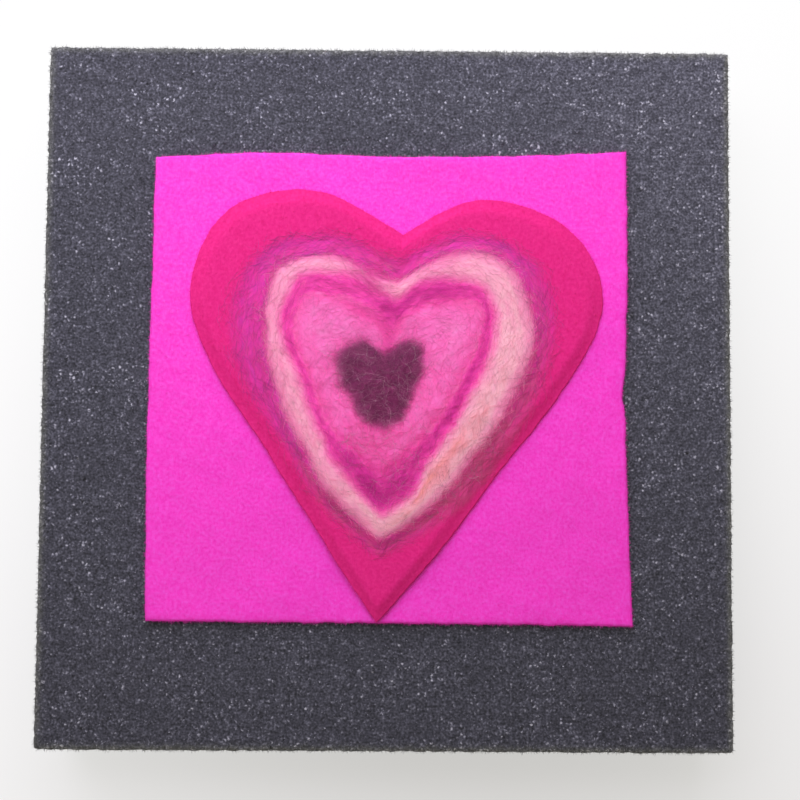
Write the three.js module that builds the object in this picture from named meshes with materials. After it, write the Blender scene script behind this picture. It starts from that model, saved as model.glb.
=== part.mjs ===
// Needle felting mat: a block of open-cell foam that carries a felt heart while it is needled.
// Millimetres, +Z up. The origin is the middle of the underside, and +Y points to the heart's cleft.
import * as THREE from "three";

// Foam block
const PAD_WIDTH = 200;
const PAD_DEPTH = 204;
const PAD_THICKNESS = 30;
const PAD_CORNER_RADIUS = 2;
const PAD_EDGE_ROUND = 1.5;

// Backing felt, cut by hand with scissors
const FELT_WIDTH = 138.5;
const FELT_DEPTH = 136;
const FELT_THICKNESS = 1.5;
const FELT_CENTRE = new THREE.Vector2(0.8, 2.5);
// How far the scissors strayed outwards from a true rectangle, at even steps along each side.
const CUT_BOTTOM = [-0.3, -0.1, 0, 0.1, 0.5];
const CUT_RIGHT = [0.95, -0.55, -1.15, -0.25, -0.65];
const CUT_TOP = [1.3, -0.2, -0.9, 0.3, -1.5];
const CUT_LEFT = [-0.45, -0.05, 0.55, 0.55, 0.05];

// Felt heart, placed from the middle of the backing felt
const HEART_THICKNESS = 1.5;
const HEART_OFFSET = new THREE.Vector2(-0.8, 3.5);

// The wool lies a little nearer the tip than the felt heart under it.
const WOOL_TOWARDS_TIP = 0.8;

// Stations round the heart, as bearings from +X seen from its middle: the cleft, the left lobe and
// flank, the tip, and the right flank and lobe.
const BEARINGS_DEG = [84, 112, 135, 157, 175, 210, 242, 268, 297, 328, 357, 378, 398, 423];
const TIP_STATION = 7;
// The felt heart's reach at each station, and how wide each layer is there from its edge inwards.
// The bare felt comes first, then the wool bands, and the plum wool fills what is left.
const HEART_REACH = [40.7, 57.7, 66.8, 62.3, 52, 41.8, 47.8, 70.5, 48.1, 43.6, 53, 66.2, 68, 57.5];
const BARE_WIDTH = [5.7, 12.2, 14.5, 11.6, 7, 5.5, 6, 17.5, 4.9, 3.6, 7.7, 14.2, 13, 9.5];
const VIOLET_WIDTH = [7.5, 8.7, 7.7, 12.3, 10.8, 5.1, 4.8, 7, 5.5, 5.9, 7.1, 7.5, 8.8, 8.5];
const PALE_WIDTH = [5.5, 4.8, 6.7, 4.7, 7.7, 6.4, 8.5, 6.5, 9.8, 9, 10.7, 12, 8.7, 7.5];
const MAGENTA_WIDTH = [7.4, 8.6, 4.9, 4.5, 2.5, 3, 5.7, 10.5, 7.5, 6.4, 6.3, 5, 3.9, 9.1];
const PINK_WIDTH = [7.3, 14.9, 19.8, 13.7, 9.7, 9.8, 8.6, 14.1, 8.7, 9.8, 11.4, 16.7, 20.2, 12.1];
const LAYER_WIDTHS = [BARE_WIDTH, VIOLET_WIDTH, PALE_WIDTH, MAGENTA_WIDTH, PINK_WIDTH];

// Needled wool: the height of each crown, and of the matted edge that every band ends in
const VIOLET_HEIGHT = 1.0;
const PALE_HEIGHT = 2.8;
const MAGENTA_HEIGHT = 1.8;
const PINK_HEIGHT = 2.4;
const PLUM_HEIGHT = 1.8;
const WOOL_EDGE_HEIGHT = 0.6;

// Clearances between one layer and the next, and between neighbouring wool bands
const LAYER_GAP = 0.3;
const BAND_GAP = 0.3;

// Facets
const STEPS_PER_STATION = 4;
const STEPS_PER_SIDE = 8;
const CROWN_STEPS = 4;
const CORNER_STEPS = 3;
const EDGE_STEPS = 2;

function roundedRectangle(width, depth, radius) {
  const x = width / 2 - radius;
  const y = depth / 2 - radius;
  const quarter = Math.PI / 2;
  const shape = new THREE.Shape();
  shape.absarc(x, y, radius, 0, quarter);
  shape.absarc(-x, y, radius, quarter, 2 * quarter);
  shape.absarc(-x, -y, radius, 2 * quarter, 3 * quarter);
  shape.absarc(x, -y, radius, 3 * quarter, 4 * quarter);
  return shape;
}

function foamBlock() {
  const block = new THREE.ExtrudeGeometry(
    roundedRectangle(PAD_WIDTH, PAD_DEPTH, PAD_CORNER_RADIUS),
    {
      depth: PAD_THICKNESS - 2 * PAD_EDGE_ROUND,
      curveSegments: CORNER_STEPS,
      bevelThickness: PAD_EDGE_ROUND,
      bevelSize: PAD_EDGE_ROUND,
      bevelOffset: -PAD_EDGE_ROUND,
      bevelSegments: EDGE_STEPS,
    },
  );
  return block.translate(0, 0, PAD_EDGE_ROUND);
}

// The backing felt's outline, one spline for each side, anticlockwise from the lower left corner.
function feltOutline() {
  const half = new THREE.Vector2(FELT_WIDTH / 2, FELT_DEPTH / 2);
  const sides = [
    { out: new THREE.Vector2(0, -1), wander: CUT_BOTTOM },
    { out: new THREE.Vector2(1, 0), wander: CUT_RIGHT },
    { out: new THREE.Vector2(0, 1), wander: CUT_TOP },
    { out: new THREE.Vector2(-1, 0), wander: CUT_LEFT },
  ];
  return sides.flatMap((side, k) => {
    const before = sides.at(k - 1);
    const after = sides[(k + 1) % sides.length];
    const start = before.out.clone().add(side.out).multiply(half);
    const end = after.out.clone().add(side.out).multiply(half);
    const last = side.wander.length - 1;
    const points = side.wander.map((stray, j) =>
      start.clone().lerp(end, j / last).addScaledVector(side.out, stray),
    );
    points[0].addScaledVector(before.out, before.wander.at(-1));
    points[last].addScaledVector(after.out, after.wander[0]);
    return new THREE.SplineCurve(points).getPoints(STEPS_PER_SIDE).slice(0, -1);
  });
}

// A heart outline inside the first `count` layers and `inset` further in, pointed at cleft and tip.
function heartOutline(count, inset = 0) {
  const points = BEARINGS_DEG.map((bearing, station) => {
    const covered = LAYER_WIDTHS.slice(0, count).reduce((sum, widths) => sum + widths[station], 0);
    const radius = HEART_REACH[station] - covered - inset;
    const angle = THREE.MathUtils.degToRad(bearing);
    return new THREE.Vector3(radius * Math.cos(angle), radius * Math.sin(angle), 0);
  });
  const left = points.slice(0, TIP_STATION + 1);
  const right = [...points.slice(TIP_STATION), points[0]];
  return [left, right].flatMap((half) => {
    const curve = new THREE.CatmullRomCurve3(half, false, "centripetal");
    return curve.getPoints((half.length - 1) * STEPS_PER_STATION).slice(0, -1);
  });
}

function sheet(outline, thickness) {
  return new THREE.ExtrudeGeometry(new THREE.Shape(outline), {
    depth: thickness,
    bevelEnabled: false,
  });
}

// Joins loops of equal length into a surface. Each loop runs anticlockwise seen from above, and the
// loops follow each other up the outside and in over the top.
function surface(loops, extraPoints, extraFaces) {
  const size = loops[0].length;
  const faces = [...extraFaces];
  for (let k = 0; k + 1 < loops.length; k++) {
    for (let i = 0; i < size; i++) {
      const j = (i + 1) % size;
      const lower = k * size;
      const upper = lower + size;
      faces.push(lower + i, lower + j, upper + j, lower + i, upper + j, upper + i);
    }
  }
  const geometry = new THREE.BufferGeometry();
  geometry.setFromPoints([...loops.flat(), ...extraPoints]);
  geometry.setIndex(faces);
  geometry.computeVertexNormals();
  return geometry;
}

function lifted(loop, height) {
  return loop.map((point) => new THREE.Vector3(point.x, point.y, height));
}

function between(outer, inner, share) {
  return outer.map((point, i) => point.clone().lerp(inner[i], share));
}

// A ring of wool with a flat underside, matted edges and a rounded crown.
function woolBand(outer, inner, height) {
  const rise = height - WOOL_EDGE_HEIGHT;
  const crown = Array.from({ length: CROWN_STEPS + 1 }, (_, k) => {
    const share = k / CROWN_STEPS;
    return lifted(between(outer, inner, share), WOOL_EDGE_HEIGHT + 4 * rise * share * (1 - share));
  });
  const outerFoot = lifted(outer, 0);
  return surface([outerFoot, ...crown, lifted(inner, 0), outerFoot], [], []);
}

// A filled patch of wool with a flat underside, a matted edge and a domed top.
function woolDome(outer, height) {
  const rise = height - WOOL_EDGE_HEIGHT;
  const middle = outer.map(() => new THREE.Vector3());
  const dome = Array.from({ length: CROWN_STEPS }, (_, k) => {
    const share = k / CROWN_STEPS;
    return lifted(between(outer, middle, share), height - rise * (1 - share) ** 2);
  });
  const loops = [lifted(outer, 0), ...dome];
  const size = outer.length;
  const last = (loops.length - 1) * size;
  const foot = loops.length * size;
  const peak = foot + 1;
  const caps = outer.flatMap((_, i) => {
    const j = (i + 1) % size;
    return [j, i, foot, last + i, last + j, peak];
  });
  return surface(loops, [new THREE.Vector3(), new THREE.Vector3(0, 0, height)], caps);
}

function piece(name, geometry, colour) {
  const material = new THREE.MeshStandardMaterial({ color: colour, roughness: 0.95, metalness: 0 });
  const mesh = new THREE.Mesh(geometry, material);
  mesh.name = name;
  return mesh;
}

function ring(name, widths, height, colour) {
  const count = LAYER_WIDTHS.indexOf(widths);
  const outer = heartOutline(count, BAND_GAP / 2);
  const inner = heartOutline(count + 1, -BAND_GAP / 2);
  return piece(name, woolBand(outer, inner, height), colour);
}

const plumOutline = heartOutline(LAYER_WIDTHS.length, BAND_GAP / 2);
const wool = new THREE.Group();
wool.position.set(0, -WOOL_TOWARDS_TIP, HEART_THICKNESS + LAYER_GAP);
wool.add(
  ring("violet_wool_band", VIOLET_WIDTH, VIOLET_HEIGHT, 0xc93a93),
  ring("pale_pink_wool_band", PALE_WIDTH, PALE_HEIGHT, 0xf3a1ba),
  ring("magenta_wool_band", MAGENTA_WIDTH, MAGENTA_HEIGHT, 0xdc48a0),
  ring("pink_wool_band", PINK_WIDTH, PINK_HEIGHT, 0xf56eb8),
  piece("plum_wool_heart", woolDome(plumOutline, PLUM_HEIGHT), 0x733458),
);

const heart = new THREE.Group();
heart.position.set(HEART_OFFSET.x, HEART_OFFSET.y, FELT_THICKNESS + LAYER_GAP);
heart.add(piece("felt_heart", sheet(heartOutline(0), HEART_THICKNESS), 0xe8306f), wool);

const feltWork = new THREE.Group();
feltWork.position.set(FELT_CENTRE.x, FELT_CENTRE.y, PAD_THICKNESS + LAYER_GAP);
feltWork.add(piece("felt_square", sheet(feltOutline(), FELT_THICKNESS), 0xfc42d0), heart);

const mat = new THREE.Group();
mat.add(piece("foam_pad", foamBlock(), 0x515058), feltWork);

export default mat;
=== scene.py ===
import math

import bpy
import numpy as np
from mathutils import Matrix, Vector


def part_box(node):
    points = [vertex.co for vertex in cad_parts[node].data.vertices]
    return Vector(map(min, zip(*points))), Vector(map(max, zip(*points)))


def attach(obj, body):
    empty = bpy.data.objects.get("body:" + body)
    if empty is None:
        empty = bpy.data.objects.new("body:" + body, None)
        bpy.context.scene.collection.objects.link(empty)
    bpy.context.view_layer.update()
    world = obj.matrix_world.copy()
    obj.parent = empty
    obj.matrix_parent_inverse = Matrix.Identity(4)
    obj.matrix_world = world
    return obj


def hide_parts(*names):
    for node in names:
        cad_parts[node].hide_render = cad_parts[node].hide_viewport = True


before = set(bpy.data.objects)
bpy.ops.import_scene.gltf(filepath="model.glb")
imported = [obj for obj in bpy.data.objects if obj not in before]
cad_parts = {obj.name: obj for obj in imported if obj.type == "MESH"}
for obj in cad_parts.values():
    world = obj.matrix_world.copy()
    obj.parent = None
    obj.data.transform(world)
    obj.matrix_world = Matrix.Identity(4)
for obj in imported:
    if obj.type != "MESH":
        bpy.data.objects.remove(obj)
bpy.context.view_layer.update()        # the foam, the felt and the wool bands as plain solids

MM = 0.001
FULL_TURN = 2 * math.pi
SEED = 7
bpy.context.scene.view_settings.view_transform = "Standard"

# Levels of the layers, from the solids
FOAM_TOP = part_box("foam_pad")[1][2]
BACKING_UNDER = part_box("felt_square")[0][2]
BACKING_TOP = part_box("felt_square")[1][2]
HEART_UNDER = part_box("felt_heart")[0][2]
HEART_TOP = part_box("felt_heart")[1][2]

# Kinds of node that are used all through
MATH = "ShaderNodeMath"
VECTOR_MATH = "ShaderNodeVectorMath"
RANDOM = "FunctionNodeRandomValue"
READ = "GeometryNodeInputNamedAttribute"
STORE = "GeometryNodeStoreNamedAttribute"


def linear(hex_colour):
    """An sRGB hex colour as linear red, green, blue and alpha."""
    parts = [int(hex_colour[i : i + 2], 16) / 255 for i in (1, 3, 5)]
    return [c / 12.92 if c <= 0.04045 else ((c + 0.055) / 1.055) ** 2.4 for c in parts] + [1.0]


def add(tree, kind, inputs=(), stops=(), **settings):
    """Adds a node with its settings, its inputs and the colours of its ramp.

    The inputs come as a list, or by name or number. Each is a value, a socket, or a node whose first output
    is linked.
    """
    made = tree.nodes.new(kind)
    for name, value in settings.items():
        setattr(made, name, value)
    for key, value in inputs.items() if isinstance(inputs, dict) else enumerate(inputs):
        if isinstance(value, bpy.types.Node):
            value = value.outputs[0]
        if isinstance(value, bpy.types.NodeSocket):
            tree.links.new(value, made.inputs[key])
        else:
            made.inputs[key].default_value = value
    for index, (place, colour) in enumerate(stops):
        elements = made.color_ramp.elements
        element = elements[index] if index < 2 else elements.new(place)
        element.position = place
        element.color = linear(colour)
    return made


def new_material(name, looks):
    """A material with the looks of its shader set, its tree and its shader."""
    material = bpy.data.materials.new(name)
    material.use_nodes = True
    shader = material.node_tree.nodes["Principled BSDF"]
    for look, value in looks.items():
        shader.inputs[look].default_value = value
    return material, material.node_tree, shader


# Camera, light and table
CAMERA_OVER_FOAM = (1.428 * MM, -17.827 * MM, 319.003 * MM)
CAMERA_TURN = (0.0514749, -0.0077077, 0.0077808)
CAMERA_LENS_MM = 49.5
CAMERA_SENSOR_MM = 36.0
CAMERA_CLIP = 0.01
TABLE_SIZE = 6.0
LAMP_PLACE = (-0.07, 0.26, 0.27)
LAMP_SIZE = 0.5
LAMP_WATTS = 2.2
LAMP_COLOUR = (1.0, 0.97, 1.14)
ROOM_STRENGTH = 0.26
ROOM_COLOUR = (1.0, 0.92, 0.68, 1.0)
WHITE = {"Color": (1, 1, 1, 1), "Strength": 1.0}
# How far the table is washed out to white where the camera sees it: least at a spot before the mat, and
# wholly far from it
TABLE_WASH = 0.5
TABLE_SPOT = (0.03, -0.14, 0.0)
TABLE_FAR = 0.35


def new_object(name, data):
    made = bpy.data.objects.new(name, data)
    bpy.context.scene.collection.objects.link(made)
    return made


def make_camera():
    data = bpy.data.cameras.new("camera")
    data.lens = CAMERA_LENS_MM
    data.sensor_width = CAMERA_SENSOR_MM
    data.clip_start = CAMERA_CLIP
    camera = new_object("camera", data)
    camera.location = (CAMERA_OVER_FOAM[0], CAMERA_OVER_FOAM[1], FOAM_TOP + CAMERA_OVER_FOAM[2])
    camera.rotation_euler = CAMERA_TURN
    bpy.context.scene.camera = camera


def seen_share(tree, share):
    """The share for what the camera sees, straight or in a gloss, and 0 for all other light."""
    path = add(tree, "ShaderNodeLightPath").outputs
    gloss = add(tree, MATH, [path["Is Glossy Ray"], path["Is Transmission Ray"]], operation="MAXIMUM")
    seen = add(tree, MATH, [path["Is Camera Ray"], gloss], operation="MAXIMUM")
    return add(tree, MATH, [seen, share], operation="MULTIPLY")


def make_light():
    """A soft window above the far edge of the mat, and a warmer, dimmer room all round."""
    data = bpy.data.lights.new("window", "AREA")
    data.size = LAMP_SIZE
    data.energy = LAMP_WATTS
    data.color = LAMP_COLOUR
    lamp = new_object("window", data)
    lamp.location = LAMP_PLACE
    lamp.rotation_euler = (-Vector(LAMP_PLACE)).to_track_quat("-Z", "Y").to_euler()
    world = bpy.data.worlds.new("room")
    world.use_nodes = True
    tree = world.node_tree
    tree.nodes.clear()
    room = add(tree, "ShaderNodeBackground", {"Color": ROOM_COLOUR, "Strength": ROOM_STRENGTH})
    white = add(tree, "ShaderNodeBackground", WHITE)
    either = add(tree, "ShaderNodeMixShader", [seen_share(tree, 1.0), room, white])
    add(tree, "ShaderNodeOutputWorld", {"Surface": either})
    bpy.context.scene.world = world


def make_table():
    half = TABLE_SIZE / 2
    corners = [(-half, -half, 0), (half, -half, 0), (half, half, 0), (-half, half, 0)]
    mesh = bpy.data.meshes.new("table")
    mesh.from_pydata(corners, [], [(0, 1, 2, 3)])
    table = new_object("table", mesh)
    # White laminate: plain and matt. The camera sees it half washed out, and it keeps the mat's shadow.
    material, tree, shader = new_material(
        "white laminate",
        {"Base Color": linear("#f6f5f3"), "Roughness": 0.7, "Specular IOR Level": 0.2},
    )
    white = add(tree, "ShaderNodeEmission", WHITE)
    place = add(tree, "ShaderNodeTexCoord").outputs["Object"]
    away = add(tree, VECTOR_MATH, [place, TABLE_SPOT], operation="DISTANCE").outputs["Value"]
    wash = add(
        tree,
        "ShaderNodeMapRange",
        {"Value": away, "From Max": TABLE_FAR, "To Min": TABLE_WASH},
        interpolation_type="SMOOTHSTEP",
    )
    washed = add(tree, "ShaderNodeMixShader", [seen_share(tree, wash), shader, white])
    tree.links.new(washed.outputs[0], tree.nodes["Material Output"].inputs["Surface"])
    mesh.materials.append(material)


# Meshes
def mesh_from(name, points, faces, material=None):
    mesh = bpy.data.meshes.new(name)
    faces = faces.tolist() if isinstance(faces, np.ndarray) else faces
    mesh.from_pydata(np.asarray(points).tolist(), [], faces)
    mesh.shade_smooth()
    if material:
        mesh.materials.append(material)
    return mesh


def set_attribute(mesh, name, values):
    """An attribute from one number, or one vector, for each vertex."""
    values = np.asarray(values, np.float32)
    vectors = values.ndim == 2
    attribute = mesh.attributes.new(name, "FLOAT_VECTOR" if vectors else "FLOAT", "POINT")
    attribute.data.foreach_set("vector" if vectors else "value", values.ravel())


def corners_of(mesh):
    """The vertex at each corner of each face."""
    corners = np.zeros(len(mesh.loops), np.int32)
    mesh.loops.foreach_get("vertex_index", corners)
    return corners


def set_corner_uv(mesh, name, places):
    layer = mesh.uv_layers.new(name=name, do_init=False)
    layer.uv.foreach_set("vector", np.asarray(places, np.float32).ravel())


def set_uv(mesh, name, places):
    """A UV map from one place for each vertex."""
    set_corner_uv(mesh, name, np.asarray(places, np.float32)[corners_of(mesh)])


def set_flat_uv(mesh, points, middle, span):
    """The map for baking: the piece seen from above."""
    set_uv(mesh, "OFBake", (points[:, :2] - middle) / span + 0.5)


def places_of(mesh):
    places = np.zeros(len(mesh.vertices) * 3)
    mesh.vertices.foreach_get("co", places)
    return places.reshape(-1, 3)


def loop_quads(loops, size):
    """Quads between closed loops of equal length that follow each other in the vertex list."""
    row = np.arange(loops - 1)[:, None] * size
    here = np.arange(size)[None, :]
    after = (here + 1) % size
    quads = np.stack([row + here, row + after, row + size + after, row + size + here], axis=-1)
    return quads.reshape(-1, 4)


def wall_quads(loops):
    """Quads between closed loops of vertices that follow each other downwards."""
    walls = []
    for upper, lower in zip(loops, loops[1:]):
        walls.append(np.stack([lower, np.roll(lower, -1), np.roll(upper, -1), upper], axis=-1))
    return walls


def cap(loops, size):
    """Triangles that close both ends of such loops, each onto a pole. The poles end the vertex list."""
    here = np.arange(size)
    after = (here + 1) % size
    last = (loops - 1) * size
    pole = np.full(size, loops * size)
    under = np.stack([after, here, pole], axis=-1).tolist()
    return under + np.stack([last + here, last + after, pole + 1], axis=-1).tolist()


def grid_quads(index):
    """The quads of a grid of vertices."""
    return np.stack([index[:-1, :-1], index[:-1, 1:], index[1:, 1:], index[1:, :-1]], axis=-1).reshape(-1, 4)


def grid_rim(index):
    """The vertices round a grid, anticlockwise from its first corner."""
    return np.concatenate([index[0, :-1], index[:-1, -1], index[-1, :0:-1], index[:0:-1, 0]])


# Geometry Nodes
def new_tree(name, **labels):
    """An empty Geometry Nodes tree with named inputs of each kind, and its group input's sockets."""
    tree = bpy.data.node_groups.new(name, "GeometryNodeTree")
    for way in ("INPUT", "OUTPUT"):
        tree.interface.new_socket("Geometry", in_out=way, socket_type="NodeSocketGeometry")
    for kind, names in labels.items():
        for label in names:
            tree.interface.new_socket(label, in_out="INPUT", socket_type="NodeSocket" + kind)
    return tree, add(tree, "NodeGroupInput").outputs


def end_tree(tree, geometry, material):
    """Makes all instances real, gives them their material and ends the tree."""
    real = add(tree, "GeometryNodeRealizeInstances", [geometry])
    dressed = add(tree, "GeometryNodeSetMaterial", {"Geometry": real, "Material": material})
    add(tree, "NodeGroupOutput", [dressed])
    return tree


def run_tree(start, tree, sizes):
    """Runs a Geometry Nodes tree on a mesh, which is then removed, and returns a plain mesh."""
    holder = new_object("start", start)
    modifier = holder.modifiers.new(tree.name, "NODES")
    modifier.node_group = tree
    for item in tree.interface.items_tree:
        if item.in_out == "INPUT" and item.name in sizes:
            modifier[item.identifier] = sizes[item.name]
    graph = bpy.context.evaluated_depsgraph_get()
    mesh = bpy.data.meshes.new_from_object(
        holder.evaluated_get(graph), preserve_all_data_layers=True, depsgraph=graph
    )
    bpy.data.objects.remove(holder)
    bpy.data.meshes.remove(start)
    return mesh


# Small spikes, for the struts and whiskers of the foam and the nap of the felt, from short to long
SPIKE_SIZES = (0.5, 1.25)


def add_spikes(tree, surface, density, length, width, lean, seed):
    """Sows thin spikes that point away from a surface and lean at random, by up to the lean in radians."""
    spots = add(
        tree,
        "GeometryNodeDistributePointsOnFaces",
        {"Mesh": surface, "Density": density, "Seed": seed},
        distribute_method="RANDOM",
    ).outputs
    spike = add(
        tree,
        "GeometryNodeMeshCone",
        {"Vertices": 3, "Radius Top": 0.0, "Radius Bottom": width, "Depth": length},
        fill_type="NONE",
    )
    least = (-lean, -lean, -math.pi)
    most = (lean, lean, math.pi)
    tilt = add(tree, RANDOM, {0: least, 1: most, "Seed": 11}, data_type="FLOAT_VECTOR")
    tilted = add(tree, "FunctionNodeRotateRotation", [spots["Rotation"], tilt], rotation_space="LOCAL")
    sizes = {2: SPIKE_SIZES[0], 3: SPIKE_SIZES[1], "Seed": 13}
    size = add(tree, RANDOM, sizes, data_type="FLOAT").outputs[1]
    return add(
        tree,
        "GeometryNodeInstanceOnPoints",
        {"Points": spots["Points"], "Instance": spike.outputs["Mesh"], "Rotation": tilted, "Scale": size},
    )


# Random waves and soft steps, for shapes that hands have made
RIPPLE_WAVES = 9


def ripple(x, y, wavelength, seed):
    """Smooth random waves of about one wavelength, mostly between -1 and 1."""
    rng = np.random.default_rng(seed)
    total = np.zeros(np.shape(x))
    for _ in range(RIPPLE_WAVES):
        heading, phase = rng.uniform(0, FULL_TURN, 2)
        pitch = FULL_TURN / (wavelength * rng.uniform(0.7, 1.5))
        total += np.sin(pitch * (x * math.cos(heading) + y * math.sin(heading)) + phase)
    return total / math.sqrt(RIPPLE_WAVES)


def step_up(value, start, end):
    """0 before start, 1 after end, and smooth between them."""
    share = np.clip((value - start) / (end - start), 0, 1)
    return share * share * (3 - 2 * share)


def near_bearing(degrees, middle, half_width):
    """1 at the middle bearing, falling smoothly to 0 at half_width degrees on either side."""
    apart = np.abs((degrees - middle + 180) % 360 - 180)
    return 1 - step_up(apart, 0, half_width)


# Foam block
FOAM_GRAIN = 1.0 * MM
# The share of a grain by which it is shaken out of its row
FOAM_SHAKE = 0.42
FOAM_PORE_DEPTH = 0.4 * MM
# The share of a pore's depth by which the highest grains stand over the saw cut
FOAM_CREST = 0.35
FOAM_EDGE_ROUND = 1.2 * MM
FOAM_EDGE_ZONE = 2.6 * MM
# The sawn sides stand out a little, frayed.
FOAM_FRAY = 0.25 * MM
FOAM_CLUSTER = 6 * MM
FOAM_SPECK = 0.95 * MM
FOAM_SHADE = 0.3
# How much darker the deepest pores are painted: painted shade
FOAM_PORE_SHADE = 0.16
# How much the right side is lightened, by painted light with some lint
FOAM_PAINTED_LIGHT_AND_LINT = 0.14
FOAM_LEAN = 0.9
FOAM_SIZES = {
    "Strut length": 0.5 * MM,
    "Strut width": 0.16 * MM,
    "Struts per m2": 160_000.0,
    "Whisker length": 0.9 * MM,
    "Whisker width": 0.07 * MM,
    "Whiskers per m2": 6_000_000.0,
}
FOAM_STOPS = ((0.0, "#26262b"), (1.0, "#bcbcc6"), (0.3, "#46464f"), (0.55, "#666671"), (0.8, "#8e8e99"))
# Colours along the rim, painted paler where light comes through the struts: painted light
FOAM_RIM_STOPS = ((0.0, "#4f504f"), (1.0, "#bcbdb8"), (0.4, "#727370"))


def foam_material():
    """Charcoal polyurethane foam, sawn from a block.

    Its open cells are painted dark as shade, its cut struts grey, a few painted bright as cell wall glints.
    Real cells are about half a millimetre wide, which is too fine to show, so they are drawn at about 1 mm.
    Round the rim of the top light comes through the struts, and they look paler.
    """
    looks = {"Roughness": 0.7, "Specular IOR Level": 0.2}
    material, tree, shader = new_material("charcoal polyurethane foam", looks)
    ground = add(tree, "ShaderNodeAttribute", attribute_name="shade").outputs["Fac"]
    clusters = add(tree, "ShaderNodeAttribute", attribute_name="clusters").outputs["Fac"]
    place = add(tree, "ShaderNodeTexCoord").outputs["Object"]
    noise = {"Vector": place, "Scale": 1.4 / FOAM_SPECK, "Detail": 2.0}
    grain = add(tree, "ShaderNodeTexNoise", noise).outputs
    sway = add(tree, VECTOR_MATH, {0: grain["Color"], "Scale": 1.3 * FOAM_SPECK}, operation="SCALE")
    bent = add(tree, VECTOR_MATH, [place, sway], operation="ADD")
    cells = add(tree, "ShaderNodeTexVoronoi", {"Vector": bent, "Scale": 1 / FOAM_SPECK}).outputs
    # Bright specks are painted glints, where a bit of cell wall would catch the light.
    speck = add(
        tree,
        "ShaderNodeMapRange",
        {"Value": cells["Distance"], "From Min": 0.1, "From Max": 0.62, "To Min": 1.0, "To Max": 0.0},
        interpolation_type="SMOOTHSTEP",
    )
    luck = add(tree, "ShaderNodeSeparateColor", [cells["Color"]])
    rare = add(tree, MATH, [luck, 2.5], operation="POWER")
    glint = add(tree, MATH, [rare, clusters], operation="MULTIPLY")
    lit = add(tree, MATH, [glint, speck], operation="MULTIPLY")
    rough = add(tree, MATH, [grain[0], 1.2, -0.6], operation="MULTIPLY_ADD")
    base = add(tree, MATH, [ground, rough], operation="ADD")
    shade = add(tree, MATH, [lit, 0.62, base], operation="MULTIPLY_ADD")
    inside = add(tree, "ShaderNodeValToRGB", [shade], stops=FOAM_STOPS)
    along_rim = add(tree, "ShaderNodeValToRGB", [shade], stops=FOAM_RIM_STOPS)
    share = add(tree, "ShaderNodeAttribute", attribute_name="edge").outputs["Fac"]
    colour = add(tree, "ShaderNodeMix", {0: share, 6: inside, 7: along_rim}, data_type="RGBA")
    tree.links.new(colour.outputs[2], shader.inputs["Base Color"])
    return material


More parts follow.
